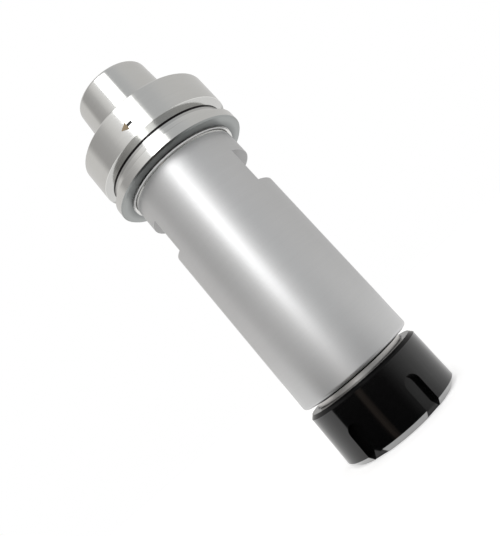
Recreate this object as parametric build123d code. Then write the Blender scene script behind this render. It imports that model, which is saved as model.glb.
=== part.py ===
from build123d import *
import math
import os

# Collet chuck holder: a hollow taper shank, a gripper flange and a long straight body turned from one
# bar, with a slotted clamping nut that presses a slit spring collet into the body's nose.
# All sizes are in millimetres. The origin is on the axis at the nut's front face, which the part
# stands on, and +Z runs from the nut to the shank. The wrench flats face +X and -X.

# Hollow taper shank
shank_diameter = 38.0
shank_length = 25.0
shank_taper = 0.1
shank_edge_radius = 1.5
hollow_diameter = 26.0
hollow_mouth_chamfer = 1.0
hollow_mouth_land = 6.0
hollow_groove_diameter = 29.5
hollow_groove_width = 6.0
hollow_shoulder_angle = 30.0
hollow_depth = 27.0

# Flange with its gripper groove
flange_diameter = 63.0
flange_width = 26.0
flange_chamfer = 0.6
gripper_groove_centre = 18.2
gripper_groove_width = 7.2
gripper_groove_depth = 3.1
gripper_groove_angle = 60.0

# Raised ring behind the flange and the turned relief beside it
boss_diameter = 52.0
boss_height = 1.0
boss_relief_diameter = 49.2
boss_relief_width = 0.7

# Straight body and its two wrench flats
body_diameter = 50.0
body_length = 102.3
body_end_radius = 1.2
across_flats = 41.0
flat_length = 16.0
flat_distance = 38.3

# Neck and threaded nose
neck_length = 2.5
neck_relief_width = 0.8
neck_relief_depth = 1.2
nose_wall = 4.0
thread_pitch = 1.5
thread_depth_in_pitches = 0.6134
nose_chamfer = 0.8

# Bores through the holder
mouth_diameter = 32.0
taper_angle = 8.0
taper_runout = 3.0
body_bore_diameter = 22.0
body_bore_depth = 90.0
through_bore_diameter = 10.0
drill_point_angle = 118.0

# Clamping nut
nut_wall = 5.0
nut_length = 22.5
nut_front_chamfer = 2.2
nut_rear_chamfer = 1.3
nut_thread_length = 8.7
nut_entry_chamfer = 0.8
nut_relief_width = 1.6
nut_slot_count = 6
nut_slot_width = 6.6
nut_slot_length = 14.0
nut_slot_depth = 2.8
nut_slot_turn = -1.0
lip_thickness = 2.2

# Spring collet
collet_standout = 1.0
collet_length = 40.0
collet_wall = 8.0
collet_bore_chamfer = 0.6
collet_head_step = 0.7
collet_cone_rise = 2.3
collet_head_length = 5.6
collet_head_angle = 30.0
collet_groove_depth = 1.3
collet_groove_width = 3.0
collet_slit_count = 8
collet_slit_width = 0.9
collet_slit_bridge = 7.0
collet_recess = 0.8

# Clearances
seat_clearance = 0.05
head_clearance = 0.3
lip_side_clearance = 0.2
lip_bottom_clearance = 0.3
thread_clearance = 0.03
neck_clearance = 0.2
nose_clearance = 0.8

# Diameters and heights that follow from the sizes above
thread_diameter = mouth_diameter + 2 * nose_wall
nut_diameter = thread_diameter + 2 * nut_wall
collet_diameter = mouth_diameter + collet_standout
collet_bore = mouth_diameter - 2 * collet_wall
collet_head_diameter = collet_diameter - 2 * collet_head_step
collet_face_diameter = collet_head_diameter - 2 * collet_cone_rise
collet_groove_diameter = collet_head_diameter - 2 * collet_groove_depth
body_end = nut_length + neck_length
relief_start = body_end + body_length
boss_start = relief_start + boss_relief_width
flange_back = boss_start + boss_height
gauge_face = flange_back + flange_width
shank_end = gauge_face + shank_length
taper_slope = math.tan(math.radians(taper_angle))
head_slope = math.tan(math.radians(collet_head_angle))
groove_front = collet_recess + collet_head_length
groove_back = groove_front + collet_groove_width
collet_back = collet_recess + collet_length
nose_face = groove_back + (collet_diameter - mouth_diameter) / 2 / taper_slope
thread_core_radius = thread_diameter / 2 - thread_depth_in_pitches * thread_pitch


def turned(outline):
    """Solid of revolution about Z from an outline of (radius, height) points."""
    section = make_face(Polyline(*outline, close=True))
    return revolve(Plane.XZ * section, axis=Axis.Z)


def circle_edges(solid, radius, height):
    """Round edges of a turned solid that have this radius at this height."""
    return [
        edge
        for edge in solid.edges().filter_by(GeomType.CIRCLE)
        if abs(edge.radius - radius) < 0.01 and abs(edge.arc_center.Z - height) < 0.01
    ]


def holder_outside():
    """Shank, flange, body and nose as one turned shape, without its bores."""
    shank_radius = shank_diameter / 2
    shank_end_radius = shank_radius - shank_length * shank_taper / 2
    flange_radius = flange_diameter / 2
    body_radius = body_diameter / 2
    neck_radius = thread_diameter / 2
    groove_middle = gauge_face - gripper_groove_centre
    groove_half = gripper_groove_width / 2
    groove_floor_half = groove_half - gripper_groove_depth * math.tan(math.radians(gripper_groove_angle / 2))
    shape = turned([
        (0, nose_face),
        (thread_core_radius - nose_chamfer, nose_face),
        (thread_core_radius, nose_face + nose_chamfer),
        (thread_core_radius, nut_length + neck_clearance),
        (neck_radius, nut_length + neck_clearance),
        (neck_radius, body_end - neck_relief_width),
        (neck_radius - neck_relief_depth, body_end - neck_relief_width),
        (neck_radius - neck_relief_depth, body_end),
        (body_radius, body_end),
        (body_radius, relief_start),
        (boss_relief_diameter / 2, relief_start),
        (boss_relief_diameter / 2, boss_start),
        (boss_diameter / 2, boss_start),
        (boss_diameter / 2, flange_back),
        (flange_radius - flange_chamfer, flange_back),
        (flange_radius, flange_back + flange_chamfer),
        (flange_radius, groove_middle - groove_half),
        (flange_radius - gripper_groove_depth, groove_middle - groove_floor_half),
        (flange_radius - gripper_groove_depth, groove_middle + groove_floor_half),
        (flange_radius, groove_middle + groove_half),
        (flange_radius, gauge_face - flange_chamfer),
        (flange_radius - flange_chamfer, gauge_face),
        (shank_radius, gauge_face),
        (shank_end_radius, shank_end),
        (0, shank_end),
    ])
    shape = fillet(circle_edges(shape, body_radius, body_end), body_end_radius)
    return fillet(circle_edges(shape, shank_end_radius, shank_end), shank_edge_radius)


def shank_hollow():
    """Space inside the shank, with the undercut that a machine's gripper opens into."""
    mouth_radius = hollow_diameter / 2
    groove_radius = hollow_groove_diameter / 2
    shoulder_height = (groove_radius - mouth_radius) / math.tan(math.radians(hollow_shoulder_angle))
    land_end = shank_end - hollow_mouth_chamfer - hollow_mouth_land
    groove_top = land_end - shoulder_height
    groove_bottom = groove_top - hollow_groove_width
    return turned([
        (0, shank_end - hollow_depth),
        (mouth_radius, shank_end - hollow_depth),
        (mouth_radius, groove_bottom - shoulder_height),
        (groove_radius, groove_bottom),
        (groove_radius, groove_top),
        (mouth_radius, land_end),
        (mouth_radius, shank_end - hollow_mouth_chamfer),
        (mouth_radius + hollow_mouth_chamfer, shank_end),
        (0, shank_end),
    ])


def nose_bore():
    """Tapered seat of the collet, the tool bore behind it and the drilled way to the shank."""
    seat_mouth = mouth_diameter / 2 + seat_clearance
    seat_end = collet_back + taper_runout
    seat_end_radius = seat_mouth - (seat_end - nose_face) * taper_slope
    bore_radius = body_bore_diameter / 2
    bore_end = nose_face + body_bore_depth
    drill_radius = through_bore_diameter / 2
    cone_height = (bore_radius - drill_radius) / math.tan(math.radians(drill_point_angle / 2))
    return turned([
        (0, nose_face),
        (seat_mouth, nose_face),
        (seat_end_radius, seat_end),
        (bore_radius, seat_end),
        (bore_radius, bore_end),
        (drill_radius, bore_end + cone_height),
        (drill_radius, shank_end - hollow_depth),
        (0, shank_end - hollow_depth),
    ])


def wrench_flats():
    """The two blocks of material that milling the flats takes off the body."""
    depth = body_diameter - across_flats
    middle = gauge_face - flat_distance - flat_length / 2
    block = Box(depth, body_diameter, flat_length)
    return [Pos(side * (across_flats + depth) / 2, 0, middle) * block for side in (-1, 1)]


def holder_body():
    """The one-piece holder: shank, flange, body and nose with its bores and flats."""
    body = holder_outside() - shank_hollow() - nose_bore()
    for block in wrench_flats():
        body -= block
    return body


def nut_slots():
    """Round-ended slots for a hook spanner, open at the nut's front face."""
    slot_radius = nut_slot_width / 2
    floor_radius = nut_diameter / 2 - nut_slot_depth
    straight = nut_slot_length - slot_radius
    outline = Pos(0, straight / 2) * Rectangle(nut_slot_width, straight)
    outline += Pos(0, straight) * Circle(slot_radius)
    cutter = Rot(Z=90) * Pos(0, -floor_radius, 0) * extrude(Plane.XZ * outline, nut_slot_depth * 2)
    step = 360 / nut_slot_count
    return [Rot(Z=nut_slot_turn + index * step) * cutter for index in range(nut_slot_count)]


def clamping_nut():
    """Slotted nut with the front cone, the off-centre lip that pulls the collet out, and its thread bore."""
    outer_radius = nut_diameter / 2
    face_radius = collet_face_diameter / 2 - collet_recess * head_slope
    cone_gap = seat_clearance / math.cos(math.radians(collet_head_angle))
    head_radius = collet_head_diameter / 2
    recess_radius = head_radius + head_clearance
    cone_end = (recess_radius - cone_gap - face_radius) / head_slope
    lip_front = groove_front + lip_side_clearance
    lip_back = lip_front + lip_thickness
    lip_radius = head_radius + head_clearance
    lip_offset = lip_radius - collet_groove_diameter / 2 - lip_bottom_clearance
    cavity_radius = lip_radius + lip_offset + lip_bottom_clearance
    thread_start = nut_length - nut_thread_length
    relief_front = min(thread_start - nut_relief_width, nose_face - nose_clearance)
    root_radius = thread_diameter / 2 + thread_clearance
    relief_radius = root_radius + lip_bottom_clearance
    outside = turned([
        (0, 0),
        (outer_radius - nut_front_chamfer, 0),
        (outer_radius, nut_front_chamfer),
        (outer_radius, nut_length - nut_rear_chamfer),
        (outer_radius - nut_rear_chamfer, nut_length),
        (0, nut_length),
    ])
    front_space = turned([
        (0, 0),
        (face_radius + cone_gap, 0),
        (recess_radius, cone_end),
        (recess_radius, lip_front),
        (0, lip_front),
    ])
    lip_space = Pos(lip_offset, 0, (lip_front + lip_back) / 2) * Cylinder(lip_radius, lip_thickness)
    rear_space = turned([
        (0, lip_back),
        (cavity_radius, lip_back),
        (cavity_radius, relief_front),
        (relief_radius, relief_front),
        (relief_radius, thread_start),
        (root_radius, thread_start),
        (root_radius, nut_length - nut_entry_chamfer),
        (root_radius + nut_entry_chamfer, nut_length),
        (0, nut_length),
    ])
    nut = outside - front_space - lip_space - rear_space
    for slot in nut_slots():
        nut -= slot
    return nut


def collet_slits():
    """Slits cut in turn from the front and from the back, each stopping short of the other end."""
    slit_length = collet_length - collet_slit_bridge
    blade = Pos(collet_diameter / 2, 0, 0) * Box(collet_diameter, collet_slit_width, slit_length)
    front_middle = collet_recess + slit_length / 2
    back_middle = collet_back - slit_length / 2
    step = 360 / collet_slit_count
    slits = []
    for index in range(collet_slit_count):
        slits.append(Rot(Z=index * step) * Pos(0, 0, front_middle) * blade)
        slits.append(Rot(Z=(index + 0.5) * step) * Pos(0, 0, back_middle) * blade)
    return slits


def collet():
    """Spring collet with its front cone, pull-out groove, long taper and slits."""
    head_radius = collet_head_diameter / 2
    face_radius = collet_face_diameter / 2
    cone_length = (head_radius - face_radius) / head_slope
    groove_radius = collet_groove_diameter / 2
    large_radius = collet_diameter / 2
    small_radius = large_radius - (collet_back - groove_back) * taper_slope
    bore_radius = collet_bore / 2
    shape = turned([
        (bore_radius + collet_bore_chamfer, collet_recess),
        (face_radius, collet_recess),
        (head_radius, collet_recess + cone_length),
        (head_radius, groove_front),
        (groove_radius, groove_front),
        (groove_radius, groove_back),
        (large_radius, groove_back),
        (small_radius, collet_back),
        (bore_radius + collet_bore_chamfer, collet_back),
        (bore_radius, collet_back - collet_bore_chamfer),
        (bore_radius, collet_recess + collet_bore_chamfer),
    ])
    for slit in collet_slits():
        shape -= slit
    return shape


def main():
    os.makedirs("parts", exist_ok=True)
    pieces = {
        "holder_body": holder_body(),
        "clamping_nut": clamping_nut(),
        "collet": collet(),
    }
    for name, solid in pieces.items():
        solid.label = name
        export_step(solid, os.path.join("parts", name + ".step"))


main()
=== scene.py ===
import math

import bpy
from mathutils import Matrix, Vector

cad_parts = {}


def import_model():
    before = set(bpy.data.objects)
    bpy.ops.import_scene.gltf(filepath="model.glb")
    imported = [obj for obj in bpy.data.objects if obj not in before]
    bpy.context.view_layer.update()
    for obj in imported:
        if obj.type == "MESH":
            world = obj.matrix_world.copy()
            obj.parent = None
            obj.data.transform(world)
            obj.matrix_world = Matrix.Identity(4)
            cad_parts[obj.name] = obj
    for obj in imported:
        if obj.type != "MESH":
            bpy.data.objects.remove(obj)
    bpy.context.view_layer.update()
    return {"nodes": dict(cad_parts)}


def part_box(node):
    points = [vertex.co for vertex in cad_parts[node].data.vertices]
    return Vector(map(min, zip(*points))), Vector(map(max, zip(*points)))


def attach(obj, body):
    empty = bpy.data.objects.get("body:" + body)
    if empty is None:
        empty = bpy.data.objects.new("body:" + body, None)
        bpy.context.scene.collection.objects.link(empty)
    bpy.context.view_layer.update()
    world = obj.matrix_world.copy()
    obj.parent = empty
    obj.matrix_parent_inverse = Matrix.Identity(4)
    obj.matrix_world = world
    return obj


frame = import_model()

MM = 0.001

# Heights and radii of the chuck's own features, in metres
NUT_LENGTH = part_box("clamping_nut")[1].z
SHANK_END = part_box("holder_body")[1].z
NOSE_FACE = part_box("holder_body")[0].z
FLANGE_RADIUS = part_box("holder_body")[1].x
BODY_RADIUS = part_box("clamping_nut")[1].x
SHANK_LENGTH = 25.0 * MM
FLANGE_WIDTH = 26.0 * MM
BODY_END = NUT_LENGTH + 2.5 * MM
GAUGE_FACE = SHANK_END - SHANK_LENGTH
FLANGE_BACK = GAUGE_FACE - FLANGE_WIDTH
FLAT_END = GAUGE_FACE - 38.3 * MM
BOSS_START = FLANGE_BACK - 1.0 * MM
GROOVE_MIDDLE = GAUGE_FACE - 18.2 * MM
GROOVE_HALF_WIDTH = 3.6 * MM
GROOVE_DEPTH = 3.1 * MM
GROOVE_CORNER = GROOVE_MIDDLE + GROOVE_HALF_WIDTH - GROOVE_DEPTH * math.tan(math.radians(30))
FLANGE_CHAMFER = 0.6 * MM
BOSS_RADIUS = 26.0 * MM
NECK_RADIUS = 20.0 * MM
NUT_CHAMFER = 2.2 * MM

# Thread between the nose and the nut
THREAD_PITCH = 1.5 * MM
NOSE_CORE_RADIUS = 19.08 * MM
NOSE_CREST_RADIUS = 19.95 * MM
NUT_ROOT_RADIUS = 20.03 * MM
NUT_CREST_RADIUS = 19.22 * MM
FLANK_SLOPE = math.tan(math.radians(30))


def new_mesh(name, points, faces, body, material, smooth=True):
    """A piece from points and faces, riding on a body."""
    mesh = bpy.data.meshes.new(name)
    mesh.from_pydata(points, [], faces)
    mesh.validate()
    mesh.update()
    for polygon in mesh.polygons:
        polygon.use_smooth = smooth
    piece = bpy.data.objects.new(name, mesh)
    bpy.context.scene.collection.objects.link(piece)
    mesh.materials.append(material)
    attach(piece, body)
    return piece


# Node helpers


def node_of(tree, kind, **values):
    """A shader node with its properties set."""
    node = tree.nodes.new(kind)
    for name, value in values.items():
        setattr(node, name, value)
    return node


def math_node(tree, operation, first, second=None, third=None):
    """A Math node on sockets or numbers, returning its output socket."""
    node = node_of(tree, "ShaderNodeMath", operation=operation)
    for index, value in enumerate((first, second, third)):
        if value is None:
            continue
        if isinstance(value, (int, float)):
            node.inputs[index].default_value = value
        else:
            tree.links.new(value, node.inputs[index])
    return node.outputs[0]


def mix_colour(tree, factor, first, second, blend="MIX"):
    """A colour mix on sockets or colours, returning its output socket."""
    node = node_of(tree, "ShaderNodeMix", data_type="RGBA", blend_type=blend)
    for socket, value in ((node.inputs[0], factor), (node.inputs[6], first), (node.inputs[7], second)):
        if isinstance(value, bpy.types.NodeSocket):
            tree.links.new(value, socket)
        else:
            socket.default_value = value
    return node.outputs[2]


def grey(value, tint=(1.0, 1.0, 1.0)):
    """A grey colour with a slight tint."""
    return (value * tint[0], value * tint[1], value * tint[2], 1.0)


def new_group(name, inputs, outputs):
    """A shader node group with named inputs (name, kind, default) and outputs (name, kind)."""
    group = bpy.data.node_groups.new(name, "ShaderNodeTree")
    for label, kind, default in inputs:
        socket = group.interface.new_socket(label, in_out="INPUT", socket_type=kind)
        socket.default_value = default
    for label, kind in outputs:
        group.interface.new_socket(label, in_out="OUTPUT", socket_type=kind)
    source = group.nodes.new("NodeGroupInput")
    target = group.nodes.new("NodeGroupOutput")
    return group, source, target


def place_group(tree, group, **values):
    """A group placed in a material with its own values."""
    node = node_of(tree, "ShaderNodeGroup", node_tree=group)
    for name, value in values.items():
        node.inputs[name.replace("_", " ")].default_value = value
    return node


def turning_marks_group():
    """Fine rings that a lathe leaves on round faces, from the distance to the axis and the height."""
    group, source, target = new_group(
        "turning_marks",
        [("Lines per metre", "NodeSocketFloat", 4000.0), ("Wander", "NodeSocketFloat", 4.0)],
        [("Rings", "NodeSocketFloat")],
    )
    place = node_of(group, "ShaderNodeTexCoord")
    split = node_of(group, "ShaderNodeSeparateXYZ")
    group.links.new(place.outputs["Object"], split.inputs[0])
    across = math_node(group, "POWER", split.outputs[0], 2.0)
    along = math_node(group, "POWER", split.outputs[1], 2.0)
    radius = math_node(group, "SQRT", math_node(group, "ADD", across, along))
    safe_radius = math_node(group, "MAXIMUM", radius, 0.0001)
    cosine = math_node(group, "DIVIDE", split.outputs[0], safe_radius)
    sine = math_node(group, "DIVIDE", split.outputs[1], safe_radius)
    joined = node_of(group, "ShaderNodeCombineXYZ")
    group.links.new(math_node(group, "MULTIPLY", cosine, source.outputs["Wander"]), joined.inputs[0])
    group.links.new(math_node(group, "MULTIPLY", sine, source.outputs["Wander"]), joined.inputs[1])
    group.links.new(math_node(group, "MULTIPLY", split.outputs[2], source.outputs["Lines per metre"]), joined.inputs[2])
    noise = node_of(group, "ShaderNodeTexNoise", noise_dimensions="4D")
    noise.inputs["Scale"].default_value = 1.0
    noise.inputs["Detail"].default_value = 3.0
    group.links.new(joined.outputs[0], noise.inputs["Vector"])
    group.links.new(math_node(group, "MULTIPLY", radius, source.outputs["Lines per metre"]), noise.inputs["W"])
    group.links.new(noise.outputs["Fac"], target.inputs["Rings"])
    return group


def height_band_group():
    """1 between two heights above the nut's face, 0 elsewhere, with a soft edge."""
    group, source, target = new_group(
        "height_band",
        [
            ("Low", "NodeSocketFloat", 0.0),
            ("High", "NodeSocketFloat", 1.0),
            ("Softness", "NodeSocketFloat", 0.0001),
        ],
        [("Mask", "NodeSocketFloat")],
    )
    place = node_of(group, "ShaderNodeTexCoord")
    split = node_of(group, "ShaderNodeSeparateXYZ")
    group.links.new(place.outputs["Object"], split.inputs[0])
    above = math_node(group, "SUBTRACT", split.outputs[2], source.outputs["Low"])
    below = math_node(group, "SUBTRACT", source.outputs["High"], split.outputs[2])
    nearest = math_node(group, "MINIMUM", above, below)
    ramp = math_node(group, "DIVIDE", nearest, source.outputs["Softness"])
    centred = node_of(group, "ShaderNodeMath", operation="ADD", use_clamp=True)
    group.links.new(ramp, centred.inputs[0])
    centred.inputs[1].default_value = 0.5
    group.links.new(centred.outputs[0], target.inputs["Mask"])
    return group


def distance_to_axis(group):
    """Distance to the Z axis and height of the shaded point, as two sockets."""
    place = node_of(group, "ShaderNodeTexCoord")
    split = node_of(group, "ShaderNodeSeparateXYZ")
    group.links.new(place.outputs["Object"], split.inputs[0])
    across = math_node(group, "POWER", split.outputs[0], 2.0)
    along = math_node(group, "POWER", split.outputs[1], 2.0)
    return math_node(group, "SQRT", math_node(group, "ADD", across, along)), split.outputs[2]


def cone_band_group():
    """1 on the cone where the radius is Reach plus Slope times the height, 0 away from it."""
    group, source, target = new_group(
        "cone_band",
        [
            ("Reach", "NodeSocketFloat", 0.02),
            ("Slope", "NodeSocketFloat", 1.0),
            ("Half width", "NodeSocketFloat", 0.0001),
        ],
        [("Mask", "NodeSocketFloat")],
    )
    radius, height = distance_to_axis(group)
    cone = math_node(group, "MULTIPLY_ADD", height, source.outputs["Slope"], source.outputs["Reach"])
    away = math_node(group, "ABSOLUTE", math_node(group, "SUBTRACT", radius, cone))
    inside = math_node(group, "LESS_THAN", away, source.outputs["Half width"])
    group.links.new(inside, target.inputs["Mask"])
    return group


def radius_mask_group():
    """1 where the distance to the axis is under a limit, 0 outside it, with a soft edge."""
    group, source, target = new_group(
        "inside_radius",
        [("Limit", "NodeSocketFloat", 0.02), ("Softness", "NodeSocketFloat", 0.0001)],
        [("Mask", "NodeSocketFloat")],
    )
    radius, _ = distance_to_axis(group)
    inward = math_node(group, "SUBTRACT", source.outputs["Limit"], radius)
    ramp = math_node(group, "DIVIDE", inward, source.outputs["Softness"])
    centred = node_of(group, "ShaderNodeMath", operation="ADD", use_clamp=True)
    group.links.new(ramp, centred.inputs[0])
    centred.inputs[1].default_value = 0.5
    group.links.new(centred.outputs[0], target.inputs["Mask"])
    return group


def fine_grain_group():
    """Even speckle of a blasted or blackened surface, in two sizes."""
    group, source, target = new_group(
        "fine_grain",
        [("Grains per metre", "NodeSocketFloat", 4000.0), ("Cloud size", "NodeSocketFloat", 0.02)],
        [("Grain", "NodeSocketFloat"), ("Clouds", "NodeSocketFloat")],
    )
    place = node_of(group, "ShaderNodeTexCoord")
    grain = node_of(group, "ShaderNodeTexNoise")
    grain.inputs["Detail"].default_value = 2.0
    group.links.new(place.outputs["Object"], grain.inputs["Vector"])
    group.links.new(source.outputs["Grains per metre"], grain.inputs["Scale"])
    clouds = node_of(group, "ShaderNodeTexNoise")
    clouds.inputs["Detail"].default_value = 2.0
    group.links.new(place.outputs["Object"], clouds.inputs["Vector"])
    group.links.new(math_node(group, "DIVIDE", 1.0, source.outputs["Cloud size"]), clouds.inputs["Scale"])
    group.links.new(grain.outputs["Fac"], target.inputs["Grain"])
    group.links.new(clouds.outputs["Fac"], target.inputs["Clouds"])
    return group


TURNING_MARKS = turning_marks_group()
HEIGHT_BAND = height_band_group()
INSIDE_RADIUS = radius_mask_group()
CONE_BAND = cone_band_group()
FINE_GRAIN = fine_grain_group()


def new_material(name):
    """An empty material with its Principled shader."""
    material = bpy.data.materials.new(name)
    material.use_nodes = True
    return material, material.node_tree, material.node_tree.nodes["Principled BSDF"]


def remap(tree, value, low, high):
    """A 0 to 1 value moved to a narrow range."""
    node = node_of(tree, "ShaderNodeMapRange")
    tree.links.new(value, node.inputs["Value"])
    node.inputs["To Min"].default_value = low
    node.inputs["To Max"].default_value = high
    return node.outputs["Result"]


def bump(tree, height, distance, strength=1.0):
    """A Bump node for a height socket, in metres."""
    node = node_of(tree, "ShaderNodeBump")
    node.inputs["Distance"].default_value = distance
    node.inputs["Strength"].default_value = strength
    tree.links.new(height, node.inputs["Height"])
    return node.outputs["Normal"]


def mix_value(tree, factor, first, second):
    """A mix of two numbers or sockets, returning its output socket."""
    node = node_of(tree, "ShaderNodeMix", data_type="FLOAT")
    for socket, value in ((node.inputs[0], factor), (node.inputs[2], first), (node.inputs[3], second)):
        if isinstance(value, bpy.types.NodeSocket):
            tree.links.new(value, socket)
        else:
            socket.default_value = value
    return node.outputs[0]


def band(tree, low, high, limit):
    """1 between two heights and nearer the axis than a limit, 0 elsewhere."""
    heights = place_group(tree, HEIGHT_BAND, Low=low, High=high, Softness=0.03 * MM).outputs["Mask"]
    inside = place_group(tree, INSIDE_RADIUS, Limit=limit, Softness=0.03 * MM).outputs["Mask"]
    return math_node(tree, "MULTIPLY", heights, inside)


def holder_material():
    """Bright ground steel on the shank and flange, satin steel on the body and nose."""
    material, tree, shader = new_material("holder_steel")
    rings = place_group(tree, TURNING_MARKS, Lines_per_metre=5200.0, Wander=2.5).outputs["Rings"]
    grain = place_group(tree, FINE_GRAIN, Grains_per_metre=2200.0, Cloud_size=0.03)
    body_zone = place_group(tree, HEIGHT_BAND, Low=BODY_END - 0.3 * MM, High=BOSS_START - 0.2 * MM).outputs["Mask"]
    groove_zone = place_group(
        tree, HEIGHT_BAND, Low=GROOVE_MIDDLE, High=GROOVE_MIDDLE + GROOVE_HALF_WIDTH - 0.1 * MM,
    ).outputs["Mask"]
    groove_floor = place_group(tree, INSIDE_RADIUS, Limit=FLANGE_RADIUS - 0.15 * MM).outputs["Mask"]
    groove_wall_shade = math_node(tree, "MULTIPLY", groove_zone, groove_floor)
    # Mask of the groove's bottom corner, where a painted shadow line goes.
    corner = band(tree, GROOVE_CORNER - 0.75 * MM, GROOVE_CORNER + 0.12 * MM, FLANGE_RADIUS - GROOVE_DEPTH + 0.2 * MM)
    back_zone = place_group(tree, HEIGHT_BAND, Low=FLANGE_BACK - 0.2 * MM, High=FLANGE_BACK + FLANGE_CHAMFER)
    boss_inside = place_group(tree, INSIDE_RADIUS, Limit=BOSS_RADIUS + 0.1 * MM)
    outside_boss = math_node(tree, "SUBTRACT", 1.0, boss_inside.outputs["Mask"])
    flange_back = math_node(tree, "MULTIPLY", back_zone.outputs["Mask"], outside_boss)
    boss_band = band(tree, BOSS_START - 0.1 * MM, BOSS_START + 0.55 * MM, BOSS_RADIUS + 0.1 * MM)
    boss_root_shadow = band(tree, BOSS_START + 0.55 * MM, FLANGE_BACK - 0.02 * MM, BOSS_RADIUS + 0.1 * MM)
    boss_core = place_group(tree, INSIDE_RADIUS, Limit=BOSS_RADIUS - 0.2 * MM).outputs["Mask"]
    boss_rim_highlight = math_node(tree, "MULTIPLY", boss_band, math_node(tree, "SUBTRACT", 1.0, boss_core))
    neck = band(tree, 0.0, BODY_END - 0.8 * MM, NECK_RADIUS + 0.3 * MM)
    undercut_shadow = band(tree, BODY_END - 0.82 * MM, BODY_END + 0.03 * MM, NECK_RADIUS + 1.6 * MM)
    flat_shoulder_shade = band(tree, FLAT_END - 0.15 * MM, FLAT_END + 0.15 * MM, BODY_RADIUS - 0.12 * MM)

    bright = mix_colour(tree, rings, grey(0.60, (1.0, 1.0, 0.975)), grey(0.68, (1.0, 1.0, 0.98)))
    satin = mix_colour(tree, grain.outputs["Clouds"], grey(0.52, (0.985, 1.0, 1.0)), grey(0.58, (1.0, 1.0, 1.01)))
    satin_grained = mix_colour(tree, remap(tree, grain.outputs["Grain"], 0.0, 0.5), satin, grey(0.62))
    streaks = place_group(tree, TURNING_MARKS, Lines_per_metre=1900.0, Wander=1.2).outputs["Rings"]
    satin_turned = mix_colour(tree, remap(tree, streaks, 0.0, 0.22), satin_grained, grey(0.40))
    colour = mix_colour(tree, body_zone, bright, satin_turned)
    # Painted shade: the groove's wall is a darker grey than the ground steel around it.
    colour = mix_colour(tree, groove_wall_shade, colour, grey(0.50, (1.0, 1.0, 0.98)))
    # Painted shade on the flange's rear face: a darker grey than the ground steel, and darker still towards the boss,
    # where the face meets the body.
    boss_corner_shade = place_group(tree, INSIDE_RADIUS, Limit=27.6 * MM, Softness=3.0 * MM).outputs["Mask"]
    painted_back_shade = mix_colour(tree, boss_corner_shade, grey(0.30, (0.96, 1.0, 0.99)), grey(0.13, (0.94, 1.0, 1.0)))
    colour = mix_colour(tree, flange_back, colour, painted_back_shade)
    # Painted highlight: the boss is real, but the lower half of its rim is painted near-white, rough and barely
    # metallic so that it reads as a thin bright ring.
    colour = mix_colour(tree, boss_rim_highlight, colour, grey(0.95))
    # Painted shadow: a dark grey line on the upper half of the boss's rim, where it meets the flange's rear face.
    colour = mix_colour(tree, boss_root_shadow, colour, grey(0.10))
    colour = mix_colour(tree, neck, colour, grey(0.52, (1.02, 1.0, 0.97)))
    # Painted shade: the shoulder faces at the end of the wrench flats are a darker grey.
    colour = mix_colour(tree, flat_shoulder_shade, colour, grey(0.32))
    # Painted shadow: near-black lines in the groove's bottom corner and in the narrow undercut where the body ends at
    # the neck.
    colour = mix_colour(tree, math_node(tree, "MAXIMUM", corner, undercut_shadow), colour, grey(0.012))
    tree.links.new(colour, shader.inputs["Base Color"])

    bright_roughness = remap(tree, rings, 0.08, 0.18)
    satin_roughness = remap(tree, grain.outputs["Grain"], 0.34, 0.41)
    roughness = mix_value(tree, body_zone, bright_roughness, satin_roughness)
    roughness = mix_value(tree, flange_back, roughness, remap(tree, rings, 0.28, 0.36))
    roughness = mix_value(tree, neck, roughness, remap(tree, rings, 0.30, 0.38))
    roughness = mix_value(tree, boss_rim_highlight, roughness, 0.5)
    tree.links.new(roughness, shader.inputs["Roughness"])
    metallic = mix_value(tree, body_zone, 1.0, 0.80)
    tree.links.new(mix_value(tree, boss_rim_highlight, metallic, 0.15), shader.inputs["Metallic"])

    height = node_of(tree, "ShaderNodeMix", data_type="FLOAT")
    tree.links.new(body_zone, height.inputs[0])
    tree.links.new(math_node(tree, "MULTIPLY", rings, 0.5), height.inputs[2])
    tree.links.new(math_node(tree, "MULTIPLY", grain.outputs["Grain"], 2.6), height.inputs[3])
    tree.links.new(bump(tree, height.outputs[0], 0.004 * MM), shader.inputs["Normal"])
    return material


def nut_material():
    """Blackened steel with a slight sheen, bare where the front chamfer was turned last."""
    material, tree, shader = new_material("black_nut")
    rings = place_group(tree, TURNING_MARKS, Lines_per_metre=2600.0, Wander=1.5).outputs["Rings"]
    grain = place_group(tree, FINE_GRAIN, Grains_per_metre=3500.0, Cloud_size=0.02)
    chamfer = place_group(tree, CONE_BAND, Reach=BODY_RADIUS - NUT_CHAMFER, Slope=1.0, Half_width=0.06 * MM)
    bare = chamfer.outputs["Mask"]
    black = mix_colour(tree, grain.outputs["Clouds"], grey(0.0012, (1.0, 1.0, 1.10)), grey(0.0026, (1.0, 1.02, 1.06)))
    colour = mix_colour(tree, bare, black, grey(0.34))
    tree.links.new(colour, shader.inputs["Base Color"])
    tree.links.new(remap(tree, rings, 0.07, 0.12), shader.inputs["Roughness"])
    tree.links.new(bare, shader.inputs["Metallic"])
    rear_chamfer = place_group(tree, HEIGHT_BAND, Low=NUT_LENGTH - 1.3 * MM, High=1.0).outputs["Mask"]
    tree.links.new(mix_value(tree, rear_chamfer, 0.5, 0.08), shader.inputs["Specular IOR Level"])
    tree.links.new(bump(tree, rings, 0.006 * MM), shader.inputs["Normal"])
    return material


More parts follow.
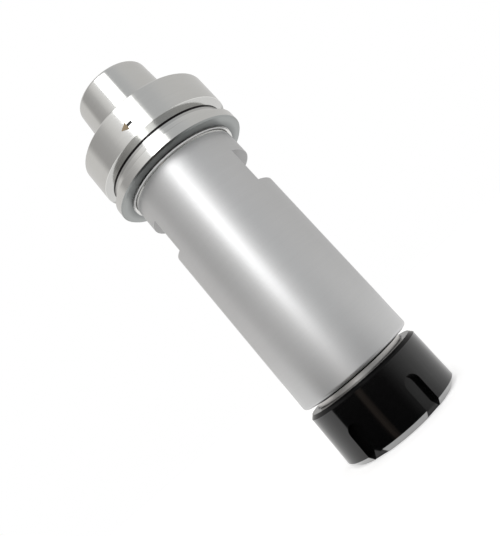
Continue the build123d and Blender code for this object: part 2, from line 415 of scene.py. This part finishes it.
def collet_material():
    """Ground spring steel."""
    material, tree, shader = new_material("collet_steel")
    rings = place_group(tree, TURNING_MARKS, Lines_per_metre=4200.0, Wander=2.0).outputs["Rings"]
    tree.links.new(mix_colour(tree, rings, grey(0.50), grey(0.62)), shader.inputs["Base Color"])
    tree.links.new(remap(tree, rings, 0.20, 0.32), shader.inputs["Roughness"])
    shader.inputs["Metallic"].default_value = 1.0
    tree.links.new(bump(tree, rings, 0.004 * MM), shader.inputs["Normal"])
    return material


def marking_material(name, dark, light):
    """Printed marking ink with a little unevenness."""
    material, tree, shader = new_material(name)
    grain = place_group(tree, FINE_GRAIN, Grains_per_metre=2600.0, Cloud_size=0.002)
    tree.links.new(mix_colour(tree, grain.outputs["Clouds"], dark, light), shader.inputs["Base Color"])
    tree.links.new(remap(tree, grain.outputs["Grain"], 0.45, 0.65), shader.inputs["Roughness"])
    return material


HOLDER_STEEL = holder_material()
BLACK_NUT = nut_material()
COLLET_STEEL = collet_material()


def dress(node, material):
    """Gives a CAD node its material."""
    piece = frame["nodes"][node]
    piece.data.materials.clear()
    piece.data.materials.append(material)
    return piece


# Thread ridges


def thread_ridge(name, body, material, root_radius, crest_radius, crest_half, start, end, phase):
    """A helical ridge from one height to another, tapering to nothing over its first and last half turn."""
    per_turn = 64
    turns = (end - start) / THREAD_PITCH
    count = int(turns * per_turn)
    side = 1.0 if crest_radius > root_radius else -1.0
    full_height = abs(crest_radius - root_radius)
    sunk = 0.04 * MM
    points = []
    for index in range(count + 1):
        turn = index / per_turn
        angle = 2 * math.pi * turn
        height = start + THREAD_PITCH * turn
        fade = min(1.0, turn / 0.5, (turns - turn) / 0.5)
        ridge_height = full_height * max(fade, 0.02)
        root_half = crest_half + ridge_height * FLANK_SLOPE
        crest = root_radius + side * ridge_height
        base = root_radius - side * sunk
        turned = angle + phase
        for radius, offset in ((base, -root_half), (crest, -crest_half), (crest, crest_half), (base, root_half)):
            points.append((radius * math.cos(turned), radius * math.sin(turned), height + offset))
    faces = []
    for index in range(count):
        low = index * 4
        high = low + 4
        for corner in range(4):
            following = (corner + 1) % 4
            faces.append((low + corner, low + following, high + following, high + corner))
    faces.append((0, 3, 2, 1))
    last = count * 4
    faces.append((last, last + 1, last + 2, last + 3))
    if side < 0:
        faces = [tuple(reversed(face)) for face in faces]
    return new_mesh(name, points, faces, body, material, smooth=False)


def nose_thread():
    """Ridge of the male thread on the holder's nose."""
    return thread_ridge(
        "nose_thread", "holder", HOLDER_STEEL, NOSE_CORE_RADIUS, NOSE_CREST_RADIUS,
        0.07 * MM, NOSE_FACE + 1.4 * MM, NUT_LENGTH - 0.7 * MM, 0.0,
    )


def nut_thread():
    """Ridge of the female thread, half a pitch from the nose's ridge."""
    start = NOSE_FACE + 1.4 * MM + THREAD_PITCH / 2
    return thread_ridge(
        "nut_thread", "nut", BLACK_NUT, NUT_ROOT_RADIUS, NUT_CREST_RADIUS,
        0.16 * MM, start, NUT_LENGTH - 1.0 * MM, 0.0,
    )


# Direction arrow on the flange's wide land

ARROW_HEIGHT = GAUGE_FACE - 9.2 * MM
ARROW_TAIL = math.radians(-90.8)
ARROW_NECK = math.radians(-95.0)
ARROW_TIP = math.radians(-100.5)
ARROW_LIFT = 0.02 * MM


def wrapped_patch(name, material, stations):
    """A thin patch on the flange's rim through stations of (angle, half width)."""
    points = []
    steps = 6
    radius = FLANGE_RADIUS + ARROW_LIFT
    rows = []
    for first, second in zip(stations, stations[1:]):
        for step in range(steps):
            part = step / steps
            rows.append((first[0] + (second[0] - first[0]) * part, first[1] + (second[1] - first[1]) * part))
    rows.append(stations[-1])
    for angle, half in rows:
        for side in (-1, 1):
            points.append((radius * math.cos(angle), radius * math.sin(angle), ARROW_HEIGHT + side * half))
    faces = [(row * 2, row * 2 + 2, row * 2 + 3, row * 2 + 1) for row in range(len(rows) - 1)]
    patch = new_mesh(name, points, faces, "holder", material)
    thick = patch.modifiers.new("thickness", "SOLIDIFY")
    thick.thickness = 0.03 * MM
    thick.offset = 0.0
    return patch


def direction_arrow():
    """Printed arrow that shows the turning direction: a black tail and a tan head."""
    ink = marking_material("arrow_ink", grey(0.012), grey(0.03))
    tan = marking_material("arrow_tan", (0.25, 0.19, 0.12, 1.0), (0.36, 0.28, 0.18, 1.0))
    wrapped_patch("direction_arrow_tail", ink, [(ARROW_TAIL, 0.62 * MM), (ARROW_NECK, 0.62 * MM)])
    wrapped_patch("direction_arrow_head", tan, [(ARROW_NECK, 1.75 * MM), (ARROW_TIP, 0.05 * MM)])


# Camera at the photograph's place, rolled as the photograph is

CAMERA_DISTANCE = 217.92 * MM
CAMERA_HEIGHT = 43.02 * MM
CAMERA_TURN = math.radians(3.0)
CAMERA_AZIMUTH = -87.0
PHOTO_ROLL = math.radians(53.0)
SENSOR_WIDTH = 36.0
PHOTO_LONG_SIDE = 536.0
FOCAL_PIXELS = 549.1
OPTICAL_CENTRE = (228.7, 222.3)
PHOTO_CENTRE = (250.0, 268.0)


def camera():
    """Camera that sees the chuck as the photograph does."""
    data = bpy.data.cameras.new("photo_camera")
    holder = bpy.data.objects.new("photo_camera", data)
    bpy.context.scene.collection.objects.link(holder)
    along = Vector((-0.0764, 0.2506, -0.9651)).normalized()
    back = Vector((-0.0012, -0.9679, -0.2512)).normalized()
    beside = back.cross(along).normalized()
    along = beside.cross(back).normalized()
    right = math.cos(PHOTO_ROLL) * along + math.sin(PHOTO_ROLL) * beside
    up = -math.sin(PHOTO_ROLL) * along + math.cos(PHOTO_ROLL) * beside
    turn = Matrix.Rotation(CAMERA_TURN, 4, "Z")
    pose = Matrix((right, up, back)).transposed().to_4x4()
    pose.translation = Vector((0.0, -CAMERA_DISTANCE, CAMERA_HEIGHT))
    holder.matrix_world = turn @ pose
    data.sensor_width = SENSOR_WIDTH
    data.lens = FOCAL_PIXELS / PHOTO_LONG_SIDE * SENSOR_WIDTH
    data.shift_x = (PHOTO_CENTRE[0] - OPTICAL_CENTRE[0]) / PHOTO_LONG_SIDE
    data.shift_y = (OPTICAL_CENTRE[1] - PHOTO_CENTRE[1]) / PHOTO_LONG_SIDE
    data.clip_start = 0.01
    bpy.context.scene.camera = holder


def area_lamp(name, azimuth, elevation, distance, width, height, power, target):
    """A soft rectangular lamp that faces a point, placed by its direction from that point."""
    data = bpy.data.lights.new(name, "AREA")
    data.shape = "RECTANGLE"
    data.size = width
    data.size_y = height
    data.energy = power
    lamp = bpy.data.objects.new(name, data)
    bpy.context.scene.collection.objects.link(lamp)
    turn = math.radians(azimuth)
    lift = math.radians(elevation)
    away = Vector((math.cos(turn) * math.cos(lift), math.sin(turn) * math.cos(lift), math.sin(lift)))
    lamp.location = Vector(target) + away * distance
    lamp.rotation_euler = away.to_track_quat("Z", "Y").to_euler()
    return lamp


def lights():
    """Soft boxes above the camera, which draw the long bright line on the round faces."""
    flange = (0.0, 0.0, GAUGE_FACE)
    area_lamp("dim_softbox", CAMERA_AZIMUTH + 6.0, 32.3, 0.60, 0.19, 0.262, 0.22, flange)
    area_lamp("bright_softbox", CAMERA_AZIMUTH - 10.0, 32.3, 0.60, 0.147, 0.262, 0.45, flange)
    area_lamp("body_softbox", CAMERA_AZIMUTH - 12.0, 5.0, 0.60, 0.20, 0.21, 0.42, flange)


# Soft panels round the chuck: degrees clockwise from the camera seen from above, brightness, warmth
PANELS = [
    (-180, 0.70, 0.012), (-86, 0.69, 0.012), (-60, 0.68, 0.004), (-40, 0.62, -0.010), (-22, 0.60, -0.010),
    (-16, 0.80, 0.0), (18, 1.10, 0.0), (30, 0.92, 0.010), (40, 0.80, 0.014), (53, 0.57, 0.014),
    (68, 0.48, 0.016), (86, 0.46, 0.018), (100, 0.78, 0.018), (125, 0.77, 0.018), (180, 0.70, 0.012),
]


def fill_ramp(ramp, shades):
    """Colour stops at angles from -180 to 180 degrees."""
    stops = ramp.elements
    while len(stops) > 1:
        stops.remove(stops[-1])
    for index, (turn, colour) in enumerate(shades):
        position = turn / 360 + 0.5
        stop = stops[0] if index == 0 else stops.new(position)
        stop.position = position
        stop.color = colour


def world():
    """Pale studio air: white where the camera sees it, soft panels where it lights the chuck."""
    studio = bpy.data.worlds.new("studio")
    bpy.context.scene.world = studio
    studio.use_nodes = True
    tree = studio.node_tree
    tree.nodes.clear()
    output = node_of(tree, "ShaderNodeOutputWorld")
    path = node_of(tree, "ShaderNodeLightPath")
    place = node_of(tree, "ShaderNodeTexCoord")
    split = node_of(tree, "ShaderNodeSeparateXYZ")
    tree.links.new(place.outputs["Generated"], split.inputs[0])
    azimuth = math_node(tree, "ARCTAN2", split.outputs[1], split.outputs[0])
    from_camera = math_node(tree, "SUBTRACT", math.radians(CAMERA_AZIMUTH), azimuth)
    share = math_node(tree, "FRACT", math_node(tree, "ADD", math_node(tree, "DIVIDE", from_camera, 2 * math.pi), 0.5))
    ramp = node_of(tree, "ShaderNodeValToRGB")
    tree.links.new(share, ramp.inputs[0])
    shades = [(turn, grey(brightness, (1 + warmth, 1.0, 1 - warmth))) for turn, brightness, warmth in PANELS]
    fill_ramp(ramp.color_ramp, shades)
    lighting = node_of(tree, "ShaderNodeBackground")
    tree.links.new(ramp.outputs[0], lighting.inputs["Color"])
    seen = node_of(tree, "ShaderNodeBackground")
    seen.inputs["Color"].default_value = (1.0, 1.0, 1.0, 1.0)
    seen.inputs["Strength"].default_value = 1.0
    mix = node_of(tree, "ShaderNodeMixShader")
    tree.links.new(path.outputs["Is Camera Ray"], mix.inputs[0])
    tree.links.new(lighting.outputs[0], mix.inputs[1])
    tree.links.new(seen.outputs[0], mix.inputs[2])
    tree.links.new(mix.outputs[0], output.inputs["Surface"])


FLOOR_GLOW = 0.42


# Shades of the card, by degrees round the nut that reflects them, clockwise from the camera
CARD_SHADES = [
    (-46, grey(1.0)), (-36, grey(0.75)), (-28, grey(0.50)), (-21, grey(0.25)), (-16, grey(0.10)), (-11, grey(0.02)),
    (6, grey(0.01)), (10, (0.30, 0.24, 0.20, 1.0)), (14, grey(0.01)), (45, grey(0.01)),
]
CARD_START, CARD_END = -46.0, 39.0


def dark_card():
    """Dark card in front of the chuck, seen only in reflections, that keeps the nut black."""
    level = 0.5 * MM
    near, reach = 25.6 * MM, 320.0 * MM
    count = 31
    spots = [CARD_START + (CARD_END - CARD_START) * step / (count - 1) for step in range(count)]
    inner, outer = [], []
    for spot in spots:
        angle = math.radians(spot)
        lean = math.atan2(BODY_RADIUS * math.sin(angle), CAMERA_DISTANCE - BODY_RADIUS * math.cos(angle))
        start = math.radians(CAMERA_AZIMUTH) - angle
        away = math.radians(CAMERA_AZIMUTH) - 2 * angle - lean
        x, y = near * math.cos(start), near * math.sin(start)
        inner.append((x, y, level))
        outer.append((x + reach * math.cos(away), y + reach * math.sin(away), level))
    faces = [(index, index + 1, count + index + 1, count + index) for index in range(count - 1)]
    mesh = bpy.data.meshes.new("dark_card")
    mesh.from_pydata(inner + outer, [], faces)
    turn = mesh.attributes.new("spot", "FLOAT", "POINT")
    for index, spot in enumerate(spots + spots):
        turn.data[index].value = spot / 360 + 0.5
    card = bpy.data.objects.new("dark_card", mesh)
    bpy.context.scene.collection.objects.link(card)
    material, tree, shader = new_material("card_black")
    place = node_of(tree, "ShaderNodeAttribute", attribute_name="spot")
    shades = node_of(tree, "ShaderNodeValToRGB")
    tree.links.new(place.outputs["Fac"], shades.inputs[0])
    fill_ramp(shades.color_ramp, CARD_SHADES)
    tree.links.new(shades.outputs[0], shader.inputs["Base Color"])
    tree.links.new(shades.outputs[0], shader.inputs["Emission Color"])
    shader.inputs["Emission Strength"].default_value = 0.3
    shader.inputs["Roughness"].default_value = 0.9
    shader.inputs["Specular IOR Level"].default_value = 0.0
    mesh.materials.append(material)
    card.visible_camera = False
    card.visible_diffuse = False
    card.visible_shadow = False


def floor():
    """White floor under the nut's face that keeps a faint shadow."""
    half = 1.5
    level = -0.05 * MM
    mesh = bpy.data.meshes.new("studio_floor")
    mesh.from_pydata(
        [(-half, -half, level), (half, -half, level), (half, half, level), (-half, half, level)],
        [], [(0, 1, 2, 3)],
    )
    plane = bpy.data.objects.new("studio_floor", mesh)
    bpy.context.scene.collection.objects.link(plane)
    material, tree, shader = new_material("floor_white")
    shader.inputs["Base Color"].default_value = (0.9, 0.9, 0.9, 1.0)
    shader.inputs["Roughness"].default_value = 0.9
    output = tree.nodes["Material Output"]
    path = node_of(tree, "ShaderNodeLightPath")
    glow = node_of(tree, "ShaderNodeEmission")
    seen = math_node(tree, "MAXIMUM", path.outputs["Is Camera Ray"], path.outputs["Is Glossy Ray"])
    tree.links.new(math_node(tree, "MULTIPLY", seen, FLOOR_GLOW), glow.inputs["Strength"])
    both = node_of(tree, "ShaderNodeAddShader")
    tree.links.new(shader.outputs[0], both.inputs[0])
    tree.links.new(glow.outputs[0], both.inputs[1])
    tree.links.new(both.outputs[0], output.inputs["Surface"])
    mesh.materials.append(material)


dress("holder_body", HOLDER_STEEL)
dress("clamping_nut", BLACK_NUT)
dress("collet", COLLET_STEEL)
nose_thread()
nut_thread()
direction_arrow()
camera()
lights()
world()
floor()
dark_card()
bpy.context.scene.view_settings.view_transform = "Standard"
